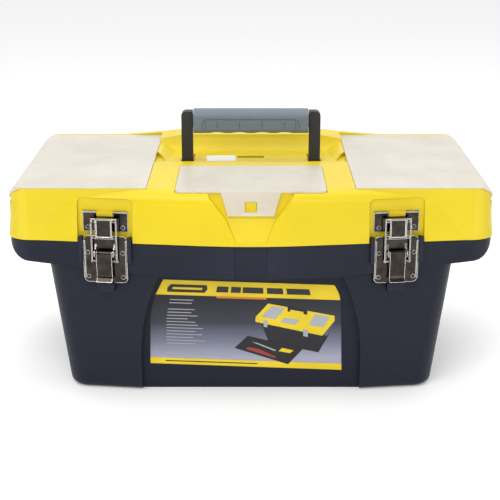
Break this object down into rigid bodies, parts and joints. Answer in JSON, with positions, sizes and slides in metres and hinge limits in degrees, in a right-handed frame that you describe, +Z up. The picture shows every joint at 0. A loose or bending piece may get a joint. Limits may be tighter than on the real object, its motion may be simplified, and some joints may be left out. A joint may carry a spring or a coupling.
{
  "type": "toolbox",
  "caption": "Plastic carpenter's toolbox with hinged lid, clear-lidded organisers, folding carry handle, draw latches and a lift-out tray.",
  "frame": {"origin": "middle of the flat underside", "axes": "+X along the box to its right end, -Y the front with the latches, +Z up"},
  "size_m": [0.486, 0.276, 0.2635],
  "materials": {
    "yellow_plastic": "satin moulded",
    "navy_plastic": "fine grain",
    "clear_plastic": "frosted translucent",
    "grey_plastic": "fine grain",
    "grip_rubber": "soft matt",
    "black_plastic": "fine grain",
    "chrome": "bright nickel plate",
    "steel": "drawn wire",
    "label_print": "printed film",
    "sticker_paper": "coated paper"
  },
  "bodies": {
    "tub": {"tub": "navy_plastic", "front_label": "label_print", "left_latch_plate": "chrome", "left_plate_rivets": "chrome", "left_lever_pin": "steel", "left_hinge_pin": "steel", "right_latch_plate": "chrome", "right_plate_rivets": "chrome", "right_lever_pin": "steel", "right_hinge_pin": "steel"},
    "lid": {"lid": "yellow_plastic", "price_sticker": "sticker_paper", "left_strike_plate": "chrome", "left_strike_rivets": "chrome", "left_handle_pin": "steel", "right_strike_plate": "chrome", "right_strike_rivets": "chrome", "right_handle_pin": "steel"},
    "left_cover": {"left_cover": "clear_plastic"},
    "right_cover": {"right_cover": "clear_plastic"},
    "middle_cover": {"middle_cover": "clear_plastic"},
    "handle": {"handle_frame": "grey_plastic", "handle_grip": "grip_rubber"},
    "left_lever": {"left_latch_lever": "chrome", "left_link_pin": "steel"},
    "left_link": {"left_latch_link": "chrome"},
    "right_lever": {"right_latch_lever": "chrome", "right_link_pin": "steel"},
    "right_link": {"right_latch_link": "chrome"},
    "tray": {"tote_tray": "black_plastic"}
  },
  "joints": [
    {"name": "lid_hinge", "type": "hinge", "parent": "tub", "child": "lid", "pos_m": [0, 0.134, 0.16], "axis": [-1, 0, 0], "range_deg": [0, 100]},
    {"name": "left_cover_hinge", "type": "hinge", "parent": "lid", "child": "left_cover", "pos_m": [-0.2384, 0, 0.1978], "axis": [0, -1, 0], "range_deg": [0, 95]},
    {"name": "right_cover_hinge", "type": "hinge", "parent": "lid", "child": "right_cover", "pos_m": [0.2384, 0, 0.1978], "axis": [0, 1, 0], "range_deg": [0, 95]},
    {"name": "middle_cover_hinge", "type": "hinge", "parent": "lid", "child": "middle_cover", "pos_m": [0, -0.0245, 0.2108], "axis": [-1, 0, 0], "range_deg": [0, 95]},
    {"name": "handle_fold", "type": "hinge", "parent": "lid", "child": "handle", "pos_m": [0, 0.023, 0.202], "axis": [-1, 0, 0], "range_deg": [0, 64]},
    {"name": "tray_lift", "type": "slide", "parent": "tub", "child": "tray", "axis": [0, 0, 1], "range_m": [0, 0.006]},
    {"name": "left_latch_lever", "type": "hinge", "parent": "tub", "child": "left_lever", "pos_m": [-0.14392, -0.12726, 0.15], "axis": [-0.9929, 0.1191, 0], "range_deg": [0, 110]},
    {"name": "left_latch_link", "type": "hinge", "parent": "left_lever", "child": "left_link", "pos_m": [-0.1438, -0.12626, 0.142], "axis": [-0.9929, 0.1191, 0], "range_deg": [-138, 0]},
    {"name": "right_latch_lever", "type": "hinge", "parent": "tub", "child": "right_lever", "pos_m": [0.14392, -0.12726, 0.15], "axis": [-0.9929, -0.1191, 0], "range_deg": [0, 110]},
    {"name": "right_latch_link", "type": "hinge", "parent": "right_lever", "child": "right_link", "pos_m": [0.1438, -0.12626, 0.142], "axis": [-0.9929, -0.1191, 0], "range_deg": [-138, 0]}
  ],
  "couplings": [
    {"joint": "left_latch_link", "follows": "left_latch_lever", "ratio": -1.25},
    {"joint": "right_latch_link", "follows": "right_latch_lever", "ratio": -1.25}
  ]
}
